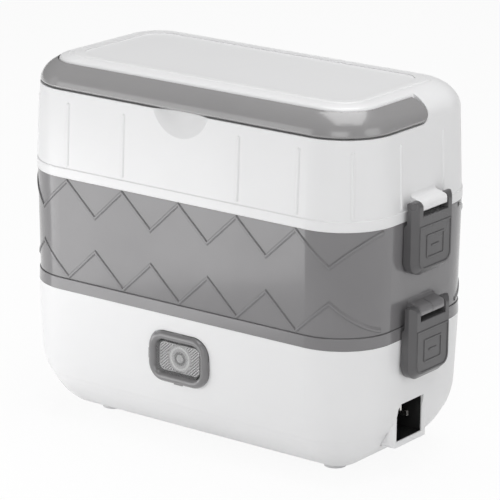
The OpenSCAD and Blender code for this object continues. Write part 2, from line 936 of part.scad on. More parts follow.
module tier_shell() {
    groove_top = z_band + tier_groove_w;
    groove_x = tier_x(z_band) - tier_groove_in;
    band_x = tier_x(z_band) + tier_band_out;
    lug_inset = corner_r - tier_x(z_lower_pin + lug_r);
    color(grey) {
        around()
            polygon([[corner_r, z_tier], [tier_x(groove_top), groove_top], [groove_x, groove_top], [groove_x, z_band],
                [band_x - 0.2, z_band], [band_x, z_band - 0.2],
                [corner_r - base_rim_in, z_base], [spigot_x, z_base], [spigot_x, z_base - spigot_h],
                [spigot_x - spigot_t, z_base - spigot_h], [spigot_x - spigot_t, z_base + wall],
                [tier_x(z_band) - wall, z_base + wall + 1], [tier_x(z_rack) - wall, z_rack - 2 * rack_ledge_h - 2],
                [rack_ledge_x, z_rack - rack_ledge_h], [rack_ledge_x, z_rack], [tier_x(z_rack) - wall, z_rack],
                [tier_x(z_tier - 5) - wall, z_tier - 5], [upstand_x - upstand_t, z_tier - 2.5],
                [upstand_x - upstand_t, z_tier + upstand_h], [upstand_x, z_tier + upstand_h], [upstand_x, z_tier]]);
        for (side = [0, 1])
            mirror([0, side, 0]) {
                zigzag_rows(zigzag_w, zigzag_out / 2);
                zigzag_rows(zigzag_w * 0.55, zigzag_out);
            }
        at_both_ends() {
            difference() {
                lug(z_lower_pin, lug_inset);
                translate([pin_x, 0, z_lower_pin])
                    rotate([90, 0, 0])
                        rotate_extrude()
                            translate([lug_r - 0.3, -0.25])
                                square([2, 0.5]);
            }
            catch(z_upper_pin);
        }
    }
}

module tier_seal() {
    z_flange_top = z_flange + steel_t;
    color(rubber)
        around()
            polygon([[spigot_x - spigot_t, z_flange_top + seat_gap], [spigot_x, z_flange_top + seat_gap],
                [spigot_x, z_base - spigot_h], [spigot_x - spigot_t, z_base - spigot_h]]);
}

module steam_rack() {
    columns = floor((core_l / 2 + rack_edge - steam_hole_d) / steam_hole_pitch);
    rows = floor((core_w / 2 + rack_edge - steam_hole_d) / steam_hole_pitch);
    color(steel)
        difference() {
            union() {
                around()
                    translate([0, z_rack])
                        square([rack_edge, rack_t]);
                middle(z_rack, z_rack + rack_t);
            }
            for (i = [-columns:columns], j = [-rows:rows])
                translate([i * steam_hole_pitch, j * steam_hole_pitch, z_rack - 1])
                    cylinder(d = steam_hole_d, h = rack_t + 2, $fn = 24);
        }
}

// ---- Cover ----

function cover_x(z) = corner_r - cover_draft * (z - z_tier) / cover_wall_h;
function shoulder_z(x) =
    z_shoulder + shoulder_up * sqrt(1 - pow((x - (corner_r - cover_draft - shoulder_in)) / shoulder_in, 2));
z_deck = z_channel - wall;
z_ceiling = z_top - panel_depth - wall;

// Space around the handle's arms and bar, seen from the end
module handle_reach(grow) {
    r = pivot_up + grow;
    translate([0, 0, z_handle_pivot])
        rotate([90, 0, 90])
            linear_extrude(far, center = true) {
                circle(r);
                translate([-far, -r])
                    square([far, r + far]);
            }
}

// Room above the pivot for an arm that stands up
module arm_room() {
    r = pivot_up + handle_gap;
    translate([-far / 2, -r, z_handle_pivot])
        cube([far, 2 * r, far]);
}

// Rounded rib up the cover's wall, facing the way it is turned
module cover_rib(turn) {
    r = (pow(cover_rib_w / 2, 2) + pow(cover_rib_out, 2)) / (2 * cover_rib_out);
    low = z_tier + rim_band_h + 2;
    high = z_shoulder - 8;
    lean = atan(cover_draft / cover_wall_h);
    rotate([0, 0, turn])
        translate([cover_x(low) + cover_rib_out - r, 0, low])
            rotate([0, -lean, 0]) {
                sphere(r);
                cylinder(r = r, h = high - low);
                translate([0, 0, high - low])
                    sphere(r);
            }
}

module cover_ribs() {
    for (y = [-1, 1]) {
        for (i = [-2, -1, 1, 2])
            translate([i * cover_rib_pitch, y * core_w / 2, 0])
                cover_rib(90 * y);
        for (x = [-1, 1]) {
            translate([x * core_l / 2, y * cover_rib_end_y, 0])
                cover_rib(90 - 90 * x);
            translate([x * core_l / 2, y * core_w / 2, 0])
                cover_rib(atan2(y, x));
        }
    }
}

z_seal_ledge = z_tier + upstand_h + 2.7;

module cover_shell() {
    rim = corner_r + rim_band_out;
    notch_r = (pow(notch_w / 2, 2) + pow(notch_h, 2)) / (2 * notch_h);
    scoop_r = (pow(notch_r, 2) + pow(notch_depth, 2)) / (2 * notch_depth);
    scoop_at = [0, notch_depth - scoop_r - side_y + cover_draft, z_channel - notch_h + notch_r];
    panel_in = 1;
    frame_w = 3.4;
    groove_w = 2.5;
    panel_r = 14;
    ellipse_x = corner_r - cover_draft - shoulder_in;
    panel_l = core_l + 2 * (ellipse_x - panel_in);
    panel_w = core_w + 2 * (ellipse_x - panel_in);
    boss_d = 9;
    boss_l = 4;
    groove_from = ellipse_x + frame_w;
    groove_to = groove_from + groove_w;
    edge_turn = 72;
    edge_x = channel_in - platform_r;
    z_edge = shoulder_z(edge_x + platform_r * cos(edge_turn)) - platform_r * sin(edge_turn);
    edge = arc(edge_x, z_edge, platform_r, 0, edge_turn);
    lug_inset = corner_r - cover_x(z_upper_pin + lug_r);
    color(white) {
        difference() {
            turned(concat([[0, z_tier], [corner_r, z_tier], [rim, z_tier + 0.4], [rim, z_tier + rim_band_h - 0.4],
                [cover_x(z_tier + rim_band_h), z_tier + rim_band_h]],
                shoulder(corner_r - cover_draft, z_shoulder, shoulder_in, shoulder_up), [[0, z_top]]));
            difference() {
                turned([[0, z_tier - 1], [cover_in, z_tier - 1], [cover_x(z_deck) - wall, z_deck], [0, z_deck]]);
                translate(scoop_at)
                    sphere(scoop_r + wall);
            }
            turned([[0, z_deck - 1], [channel_in - wall, z_deck - 1], [channel_in - wall, z_ceiling - 4],
                [channel_in - wall - 4, z_ceiling], [0, z_ceiling]]);
            intersection() {
                around()
                    polygon(concat([[channel_in, z_channel - 1], [corner_r + 9, z_channel - 1], [corner_r + 9, z_top + 1],
                        [edge[len(edge) - 1][0], z_top + 1]], [for (i = [len(edge) - 1:-1:0]) edge[i]]));
                union() {
                    handle_reach(handle_gap);
                    arm_room();
                }
            }
            translate([0, 0, z_top - panel_depth])
                linear_extrude(1 + panel_depth)
                    rounded_rectangle(panel_l, panel_w, panel_r);
            around()
                polygon([[groove_from, z_top + 1], [groove_from, shoulder_z(groove_from)],
                    [groove_from + 0.5, shoulder_z(groove_from + 0.5) - frame_groove],
                    [groove_to - 0.5, shoulder_z(groove_to - 0.5) - frame_groove],
                    [groove_to, shoulder_z(groove_to)], [groove_to, z_top + 1]]);
            translate(scoop_at)
                sphere(scoop_r);
            translate([0, 0, z_handle_pivot])
                rotate([0, 90, 0])
                    cylinder(r = handle_pin_d / 2 + screw_fit, h = far, center = true);
        }
        around()
            polygon([[upstand_x - seal_ledge, z_seal_ledge], [cover_in + 0.5, z_seal_ledge],
                [cover_in + 0.5, z_seal_ledge + 2 * wall], [upstand_x - seal_ledge, z_seal_ledge + wall / 2]]);
        at_both_ends()
            translate([core_l / 2 + channel_in - wall - boss_l, 0, z_handle_pivot])
                rotate([0, 90, 0])
                    difference() {
                        cylinder(d = boss_d, h = boss_l + wall / 2);
                        translate([0, 0, -1])
                            cylinder(r = handle_pin_d / 2 + screw_fit, h = boss_l + wall + 2);
                    }
        cover_ribs();
        at_both_ends()
            lug(z_upper_pin, lug_inset);
    }
}

module cover_seal() {
    color(rubber)
        around()
            polygon([[upstand_x - upstand_t - 0.4, z_tier + upstand_h + seat_gap],
                [upstand_x, z_tier + upstand_h + seat_gap],
                [upstand_x, z_seal_ledge], [upstand_x - upstand_t - 0.4, z_seal_ledge]]);
}

// ---- Handle ----

module handle() {
    ellipse_x = corner_r - cover_draft - shoulder_in;
    up = shoulder_up - handle_sunk;
    low_angle = asin(handle_r / up);
    top_angle = acos((handle_in - ellipse_x) / shoulder_in);
    edge_x = ellipse_x + shoulder_in * cos(low_angle) - handle_r;
    color(grey)
        difference() {
            intersection() {
                around()
                    polygon(concat([[handle_in, z_shoulder]], arc(edge_x, z_shoulder + handle_r, handle_r, -90, 0),
                        shoulder(corner_r - cover_draft, z_shoulder, shoulder_in, up, low_angle + 1, top_angle, 12)));
                handle_reach(0);
            }
            at_both_ends()
                translate([core_l / 2 + handle_in - 1, 0, z_handle_pivot])
                    rotate([0, 90, 0])
                        cylinder(r = handle_pin_d / 2 + pin_fit, h = handle_pin_grip + 1);
        }
}

module handle_pins() {
    pin_l = 2 * wall + handle_gap + handle_pin_grip;
    color(steel)
        at_both_ends()
            translate([core_l / 2 + handle_in + handle_pin_grip - 0.3 - pin_l, 0, z_handle_pivot])
                rotate([0, 90, 0])
                    cylinder(d = handle_pin_d, h = pin_l);
}

// ---- Latches, drawn around the pin with the box at -X ----

// Outline of a latch seen from the end, its foot rounded
module latch_face(w, top, bottom, r_bottom, r_top) {
    translate([-w / 2, bottom + r_bottom])
        square([w, top - bottom - r_bottom - r_top]);
    translate([-w / 2 + r_bottom, bottom])
        square([w - 2 * r_bottom, r_bottom + 1]);
    translate([-w / 2 + r_top, top - r_top - 1])
        square([w - 2 * r_top, r_top + 1]);
    for (y = [-1, 1]) {
        translate([y * (w / 2 - r_bottom), bottom + r_bottom])
            circle(r_bottom);
        translate([y * (w / 2 - r_top), top - r_top])
            circle(r_top);
    }
}

// Extrudes an outline in Y and Z from one X to another
module facing(from, to) {
    translate([from, 0, 0])
        rotate([90, 0, 90])
            linear_extrude(to - from)
                children();
}

// Flat outline of a frame with square or rounded foot corners
module frame_line(w, top, bottom, r) {
    difference() {
        latch_face(w, top, bottom, r, 0.5);
        latch_face(w - 2 * grip_w, top - grip_w, bottom + grip_w, r - grip_w, 0.3);
    }
}

// Fine lines moulded on the plate: a frame, a smaller one inside it and a short dash
module grip_lines() {
    edge = latch_bevel + 0.4;
    frame_top = -plate_top - 5.4;
    frame_bottom = -latch_drop + edge;
    inner_w = 17;
    inner_h = 13.2;
    dash_w = 7;
    middle = (frame_top + frame_bottom) / 2;
    facing(ear_r - 0.5, ear_r + grip_out) {
        frame_line(latch_w - 2 * edge, frame_top, frame_bottom, latch_round - edge);
        frame_line(inner_w, middle + inner_h / 2, middle - inner_h / 2, 1.4);
        translate([-dash_w / 2, middle - grip_w / 2])
            square([dash_w, grip_w]);
    }
}

// Side outline of a latch, its foot bevelled
module latch_side() {
    step = plate_top + 4.8;
    low_back = latch_out - 0.3;
    polygon([[-latch_back, 0], [-latch_back, -step + 1], [-low_back, -step - 1], [-low_back, -latch_drop],
        [ear_r - latch_bevel, -latch_drop], [ear_r, -latch_drop + latch_bevel], [ear_r, 0]]);
    intersection() {
        circle(ear_r);
        translate([-latch_back, -ear_r])
            square(2 * ear_r);
    }
}

// Solid block of a latch: its bevels run down the sides and around the foot
module latch_block() {
    flat = ear_r - latch_bevel;
    half = latch_w / 2;
    low_back = latch_out - 0.3;
    z_corner = latch_round - latch_drop;
    across(latch_w - 2 * latch_round)
        latch_side();
    intersection() {
        across(latch_w)
            latch_side();
        facing(-far, far)
            latch_face(latch_w, ear_r + 1, -latch_drop, ear_round, ear_round);
        translate([0, 0, z_corner])
            linear_extrude(far)
                polygon([[-far, -half], [flat, -half], [ear_r, latch_bevel - half], [ear_r, half - latch_bevel],
                    [flat, half], [-far, half]]);
    }
    for (y = [-1, 1])
        translate([-low_back, y * (half - latch_round), z_corner])
            rotate([0, 90, 0]) {
                cylinder(r = latch_round, h = low_back + flat);
                translate([0, 0, low_back + flat])
                    cylinder(r1 = latch_round, r2 = latch_round - latch_bevel, h = latch_bevel);
            }
}

module latch() {
    plate_back = ear_r - latch_t;
    hook_w = 20;
    hook_t = 2.2;
    hook_in = catch_out + hook_gap - latch_out;
    ear_gap = lug_w / 2 + lug_gap;
    pin_reach = ear_gap + 3.9;
    catch_room = catch_w + 2 * fit_gap;
    color(dark_grey) {
        difference() {
            latch_block();
            facing(-far, plate_back)
                latch_face(latch_w - 2 * latch_flange, -pocket_top, -latch_drop + latch_flange,
                    latch_round - latch_flange, 1);
            translate([-far, -ear_gap, -plate_top])
                cube([2 * far, 2 * ear_gap, far]);
            translate([-far, -catch_room / 2, -latch_drop - 1])
                cube([far + hook_in, catch_room, latch_drop - hook_drop]);
            rotate([90, 0, 0])
                cylinder(r = latch_pin_d / 2 + screw_fit, h = 2 * pin_reach, center = true);
        }
        across(hook_w)
            polygon([[hook_in, -hook_drop - 0.3], [plate_back + 0.5, -hook_drop - 0.3],
                [plate_back + 0.5, -hook_drop - hook_t - 2],
                [plate_back - 0.4, -hook_drop - hook_t - 2], [hook_in, -hook_drop - hook_t]]);
        grip_lines();
    }
}

module latch_pin() {
    color(steel)
        rotate([90, 0, 0])
            cylinder(d = latch_pin_d, h = lug_w + 2 * lug_gap + 7.4, center = true);
}

// Puts a piece at a latch's pin, on the right or the left end
module at_pin(side, z) {
    mirror([side < 0 ? 1 : 0, 0, 0])
        translate([pin_x, 0, z])
            children();
}

module upper_latch_right() {
    at_pin(1, z_upper_pin)
        latch();
}

module upper_latch_left() {
    at_pin(-1, z_upper_pin)
        latch();
}

module lower_latch_right() {
    at_pin(1, z_lower_pin)
        latch();
}

module lower_latch_left() {
    at_pin(-1, z_lower_pin)
        latch();
}

module upper_latch_pin_right() {
    at_pin(1, z_upper_pin)
        latch_pin();
}

module upper_latch_pin_left() {
    at_pin(-1, z_upper_pin)
        latch_pin();
}

module lower_latch_pin_right() {
    at_pin(1, z_lower_pin)
        latch_pin();
}

module lower_latch_pin_left() {
    at_pin(-1, z_lower_pin)
        latch_pin();
}

base_shell();
bottom_cover();
rubber_feet();
bottom_screws();
heating_pan();
pan_seal();
heating_plate();
heating_tube();
thermostat();
thermal_fuse();
power_inlet();
inlet_pins();
switch_bezel();
switch_board();
push_switch();
indicator_lamp();
switch_button();
switch_plate();
lower_bowl();
lower_bowl_lid();
lower_lid_seal();
tier_shell();
tier_seal();
steam_rack();
upper_bowl();
upper_bowl_lid();
upper_lid_seal();
cover_shell();
cover_seal();
handle_pins();
handle();
upper_latch_right();
upper_latch_left();
lower_latch_right();
lower_latch_left();
upper_latch_pin_right();
upper_latch_pin_left();
lower_latch_pin_right();
lower_latch_pin_left();
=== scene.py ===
import json
import math

import bpy
from mathutils import Matrix, Vector


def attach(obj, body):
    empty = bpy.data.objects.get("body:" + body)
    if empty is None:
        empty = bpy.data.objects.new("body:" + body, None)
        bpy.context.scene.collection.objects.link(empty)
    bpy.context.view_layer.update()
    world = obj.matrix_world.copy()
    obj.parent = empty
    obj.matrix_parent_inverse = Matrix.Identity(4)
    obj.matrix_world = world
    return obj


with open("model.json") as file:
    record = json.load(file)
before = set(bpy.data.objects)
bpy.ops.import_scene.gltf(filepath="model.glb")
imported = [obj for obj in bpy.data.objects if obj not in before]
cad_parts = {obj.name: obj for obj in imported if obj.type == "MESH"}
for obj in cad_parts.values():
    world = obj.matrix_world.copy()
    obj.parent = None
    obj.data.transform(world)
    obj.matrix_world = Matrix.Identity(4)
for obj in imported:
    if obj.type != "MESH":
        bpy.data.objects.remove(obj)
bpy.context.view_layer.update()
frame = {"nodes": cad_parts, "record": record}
nodes = frame["nodes"]
print("frame loaded:", len(nodes), "parts")


# Materials

def newMaterial(name):
    material = bpy.data.materials.new(name)
    material.use_nodes = True
    tree = material.node_tree
    tree.nodes.clear()
    shader = tree.nodes.new("ShaderNodeBsdfPrincipled")
    output = tree.nodes.new("ShaderNodeOutputMaterial")
    tree.links.new(shader.outputs["BSDF"], output.inputs["Surface"])
    return material, tree, shader


def addNoise(tree, scale, detail=2.0, stretch=(1, 1, 1)):
    place = tree.nodes.new("ShaderNodeTexCoord")
    mapping = tree.nodes.new("ShaderNodeMapping")
    mapping.inputs["Scale"].default_value = stretch
    noise = tree.nodes.new("ShaderNodeTexNoise")
    noise.inputs["Scale"].default_value = scale
    noise.inputs["Detail"].default_value = detail
    tree.links.new(place.outputs["Object"], mapping.inputs["Vector"])
    tree.links.new(mapping.outputs["Vector"], noise.inputs["Vector"])
    return noise.outputs["Fac"]


def spread(tree, value, low, high, fromLow=0.3, fromHigh=0.7):
    ranged = tree.nodes.new("ShaderNodeMapRange")
    ranged.inputs["From Min"].default_value = fromLow
    ranged.inputs["From Max"].default_value = fromHigh
    ranged.inputs["To Min"].default_value = low
    ranged.inputs["To Max"].default_value = high
    tree.links.new(value, ranged.inputs["Value"])
    return ranged.outputs["Result"]


def blendColors(tree, factor, first, second):
    mix = tree.nodes.new("ShaderNodeMix")
    mix.data_type = "RGBA"
    mix.inputs["A"].default_value = (*first, 1)
    mix.inputs["B"].default_value = (*second, 1)
    tree.links.new(factor, mix.inputs["Factor"])
    return mix.outputs["Result"]


def addBump(tree, shader, height, depth, edge=0.0003):
    bump = tree.nodes.new("ShaderNodeBump")
    bump.inputs["Strength"].default_value = 1.0
    bump.inputs["Distance"].default_value = depth
    tree.links.new(height, bump.inputs["Height"])
    if edge:
        soft = tree.nodes.new("ShaderNodeBevel")      # softens the moulded edges
        soft.samples = 4
        soft.inputs["Radius"].default_value = edge
        tree.links.new(soft.outputs["Normal"], bump.inputs["Normal"])
    tree.links.new(bump.outputs["Normal"], shader.inputs["Normal"])


def mouldedPlastic(name, values):
    material, tree, shader = newMaterial(name)
    cloud = addNoise(tree, values["cloudScale"], 3.0)
    tint = blendColors(tree, spread(tree, cloud, 0.0, 1.0), values["color"], values["otherColor"])
    tree.links.new(tint, shader.inputs["Base Color"])
    low, high = values["roughness"]
    tree.links.new(spread(tree, cloud, low, high), shader.inputs["Roughness"])
    grain = addNoise(tree, values["grainScale"])
    addBump(tree, shader, grain, values["grainDepth"], values["edge"])
    shader.inputs["IOR"].default_value = values.get("ior", 1.5)
    shader.inputs["Coat Weight"].default_value = values.get("coat", 0.0)
    shader.inputs["Coat Roughness"].default_value = values.get("coatRoughness", 0.08)
    return material


def brushedMetal(name, values):
    material, tree, shader = newMaterial(name)
    shader.inputs["Metallic"].default_value = 1.0
    streaks = addNoise(tree, values["streakScale"], 4.0, values["stretch"])
    tint = blendColors(tree, spread(tree, streaks, 0.0, 1.0), values["color"], values["otherColor"])
    tree.links.new(tint, shader.inputs["Base Color"])
    low, high = values["roughness"]
    tree.links.new(spread(tree, streaks, low, high), shader.inputs["Roughness"])
    addBump(tree, shader, streaks, values["grainDepth"], values["edge"])
    return material


plastics = {
    "white_shell": {"color": (0.82, 0.82, 0.825), "otherColor": (0.8, 0.8, 0.805), "roughness": (0.27, 0.35),
        "cloudScale": 14, "grainScale": 600, "grainDepth": 0.000002, "edge": 0.0005},
    "tier_grey": {"color": (0.2, 0.196, 0.201), "otherColor": (0.178, 0.174, 0.179), "roughness": (0.16, 0.24),
        "cloudScale": 16, "grainScale": 500, "grainDepth": 0.000002, "edge": 0.0005, "coat": 0.3},
    "handle_grey": {"color": (0.3, 0.295, 0.297), "otherColor": (0.28, 0.275, 0.277), "roughness": (0.2, 0.28),
        "cloudScale": 22, "grainScale": 600, "grainDepth": 0.000002, "edge": 0.0004, "coat": 0.6},
    "latch_grey": {"color": (0.108, 0.106, 0.109), "otherColor": (0.093, 0.091, 0.094), "roughness": (0.26, 0.34),
        "cloudScale": 30, "grainScale": 700, "grainDepth": 0.000002, "edge": 0.0006},
    "bezel_grey": {"color": (0.2, 0.197, 0.2), "otherColor": (0.18, 0.177, 0.18), "roughness": (0.14, 0.2),
        "cloudScale": 40, "grainScale": 600, "grainDepth": 0.000001, "edge": 0.0004, "coat": 0.5},
    "plate_grey": {"color": (0.13, 0.128, 0.13), "otherColor": (0.11, 0.108, 0.11), "roughness": (0.3, 0.4),
        "cloudScale": 90, "grainScale": 900, "grainDepth": 0.000002, "edge": 0.0002},
    "lid_plastic": {"color": (0.72, 0.72, 0.73), "otherColor": (0.68, 0.68, 0.69), "roughness": (0.3, 0.4),
        "cloudScale": 18, "grainScale": 600, "grainDepth": 0.000003, "edge": 0.0004},
    "black_plastic": {"color": (0.012, 0.012, 0.012), "otherColor": (0.022, 0.022, 0.022), "roughness": (0.3, 0.42),
        "cloudScale": 60, "grainScale": 900, "grainDepth": 0.000004, "edge": 0.0002},
    "ceramic_white": {"color": (0.78, 0.76, 0.72), "otherColor": (0.7, 0.68, 0.64), "roughness": (0.5, 0.65),
        "cloudScale": 120, "grainScale": 1200, "grainDepth": 0.000008, "edge": 0.0002},
    "lamp_white": {"color": (0.85, 0.85, 0.82), "otherColor": (0.8, 0.8, 0.74), "roughness": (0.15, 0.25),
        "cloudScale": 300, "grainScale": 1500, "grainDepth": 0.000002, "edge": 0.0002},
    "board_green": {"color": (0.04, 0.14, 0.06), "otherColor": (0.03, 0.1, 0.05), "roughness": (0.3, 0.5),
        "cloudScale": 250, "grainScale": 1200, "grainDepth": 0.000006, "edge": 0.0001},
    "foot_rubber": {"color": (0.8, 0.8, 0.81), "otherColor": (0.76, 0.76, 0.77), "roughness": (0.6, 0.75),
        "cloudScale": 90, "grainScale": 900, "grainDepth": 0.000008, "edge": 0.0005},
    "silicone": {"color": (0.76, 0.76, 0.77), "otherColor": (0.7, 0.7, 0.71), "roughness": (0.45, 0.6),
        "cloudScale": 60, "grainScale": 900, "grainDepth": 0.000006, "edge": 0.0003},
}
metals = {
    "bowl_steel": {"color": (0.66, 0.66, 0.67), "otherColor": (0.56, 0.56, 0.57), "roughness": (0.2, 0.32),
        "streakScale": 60, "stretch": (1, 1, 40), "grainDepth": 0.000006, "edge": 0.0004},
    "screw_steel": {"color": (0.64, 0.64, 0.65), "otherColor": (0.55, 0.55, 0.56), "roughness": (0.16, 0.28),
        "streakScale": 700, "stretch": (1, 1, 1), "grainDepth": 0.000004, "edge": 0.0002},
    "tube_steel": {"color": (0.3, 0.29, 0.28), "otherColor": (0.22, 0.2, 0.19), "roughness": (0.35, 0.5),
        "streakScale": 300, "stretch": (1, 1, 1), "grainDepth": 0.00001, "edge": 0.0002},
    "cast_aluminium": {"color": (0.6, 0.6, 0.61), "otherColor": (0.5, 0.5, 0.51), "roughness": (0.4, 0.55),
        "streakScale": 900, "stretch": (1, 1, 1), "grainDepth": 0.00003, "edge": 0.0003},
    "contact_brass": {"color": (0.7, 0.69, 0.66), "otherColor": (0.6, 0.585, 0.55), "roughness": (0.2, 0.34),
        "streakScale": 600, "stretch": (1, 1, 1), "grainDepth": 0.000006, "edge": 0.0002},
}
clearCap = {"tint": (0.86, 0.86, 0.865), "otherTint": (0.8, 0.8, 0.805), "roughness": (0.05, 0.1), "ior": 1.49,
    "cloudScale": 60, "grainScale": 500, "grainDepth": 0.000001, "edge": 0.0005,
    "coat": 1.0, "cover": 0.1}      # cover is how far the cap hides the plate behind it


def clearPlastic(name, values):
    material, tree, shader = newMaterial(name)
    cloud = addNoise(tree, values["cloudScale"])
    tint = blendColors(tree, spread(tree, cloud, 0.0, 1.0), values["tint"], values["otherTint"])
    tree.links.new(tint, shader.inputs["Base Color"])
    low, high = values["roughness"]
    tree.links.new(spread(tree, cloud, low, high), shader.inputs["Roughness"])
    addBump(tree, shader, addNoise(tree, values["grainScale"]), values["grainDepth"], values["edge"])
    shader.inputs["IOR"].default_value = values["ior"]
    shader.inputs["Coat Weight"].default_value = values["coat"]
    shader.inputs["Alpha"].default_value = values["cover"]
    return material


# painted light on the plate: ridge is a painted highlight colour for the ridges' crests, rings are painted shade
# levels round the nub with a lighter painted ring further out
plateShade = {"center": (0, -0.0609, 0.0558), "ridge": (0.62, 0.615, 0.62), "ridgeHeight": 0.00022,
    "reach": 0.0083, "rings": ((0.0, 0.38), (0.0021, 0.36), (0.0026, 0.05), (0.0037, 0.07), (0.0044, 0.3),
        (0.0055, 0.34), (0.0061, 0.56), (0.0067, 0.5), (0.0072, 0.3), (0.0083, 0.3))}


def shadedPlate(name, values, shade):
    material = mouldedPlastic(name, values)
    tree = material.node_tree
    shader = tree.nodes["Principled BSDF"]
    place = tree.nodes.new("ShaderNodeTexCoord")
    fromCenter = tree.nodes.new("ShaderNodeMapping")
    fromCenter.inputs["Location"].default_value = [-v for v in shade["center"]]
    flat = tree.nodes.new("ShaderNodeVectorMath")
    flat.operation = "MULTIPLY"
    flat.inputs[1].default_value = (1, 0, 1)
    away = tree.nodes.new("ShaderNodeVectorMath")
    away.operation = "LENGTH"
    parts = tree.nodes.new("ShaderNodeSeparateXYZ")
    tree.links.new(place.outputs["Object"], fromCenter.inputs["Vector"])
    tree.links.new(fromCenter.outputs["Vector"], flat.inputs[0])
    tree.links.new(flat.outputs["Vector"], away.inputs[0])
    tree.links.new(fromCenter.outputs["Vector"], parts.inputs["Vector"])

    # painted highlight: the ridges' crests are painted lighter than the plate between them
    paintedCrestHighlight = tree.nodes.new("ShaderNodeMix")
    paintedCrestHighlight.data_type = "RGBA"
    paintedCrestHighlight.inputs["B"].default_value = (*shade["ridge"], 1)
    tree.links.new(shader.inputs["Base Color"].links[0].from_socket, paintedCrestHighlight.inputs["A"])
    crestHighlightMask = spread(tree, parts.outputs["Y"], 0, 1, 0, -0.5 * shade["ridgeHeight"])
    tree.links.new(crestHighlightMask, paintedCrestHighlight.inputs["Factor"])

    # painted shade in rings round the nub, with a lighter painted ring further out
    ramp = tree.nodes.new("ShaderNodeValToRGB")
    for radius, level in shade["rings"][1:-1]:
        stop = ramp.color_ramp.elements.new(radius / shade["reach"])
        stop.color = (level, level, level, 1)
    stops = ramp.color_ramp.elements
    for stop, (radius, level) in ((stops[0], shade["rings"][0]), (stops[len(stops) - 1], shade["rings"][-1])):
        stop.color = (level, level, level, 1)
    tree.links.new(spread(tree, away.outputs["Value"], 0, 1, 0, shade["reach"]), ramp.inputs["Fac"])
    mix = tree.nodes.new("ShaderNodeMix")
    mix.data_type = "RGBA"
    past = spread(tree, away.outputs["Value"], 0, 1, 0.98 * shade["reach"], shade["reach"])
    tree.links.new(past, mix.inputs["Factor"])
    tree.links.new(ramp.outputs["Color"], mix.inputs["A"])
    tree.links.new(paintedCrestHighlight.outputs["Result"], mix.inputs["B"])
    tree.links.new(mix.outputs["Result"], shader.inputs["Base Color"])
    return material


materials = {name: mouldedPlastic(name, values) for name, values in plastics.items()}
materials["button_clear"] = clearPlastic("button_clear", clearCap)
materials["plate_grey"] = shadedPlate("plate_grey", plastics["plate_grey"], plateShade)
materials.update({name: brushedMetal(name, values) for name, values in metals.items()})
for part in frame["record"]["subparts"]:
    mesh = nodes[part["node"]].data
    mesh.materials.clear()
    mesh.materials.append(materials[part["material_slot"]])
print("materials on:", len(materials))


# Hatch in relief on the plate behind the button's cap

hatch = {"pitch": 0.0013, "slant": 43, "width": 0.0271, "height": 0.0153, "corner": 0.0032,
    "clearing": 0.0166, "ridgeWidth": 0.0007, "ridgeHeight": 0.00022, "at": (0, -0.0609, 0.0558),
    "pointsPerLine": 361}


def addStep(tree, kind, inputs, **settings):
    step = tree.nodes.new(kind)
    for name, value in settings.items():
        setattr(step, name, value)
    for name, value in inputs.items():
        if isinstance(value, bpy.types.NodeSocket):
            tree.links.new(value, step.inputs[name])
        else:
            step.inputs[name].default_value = value
    return step


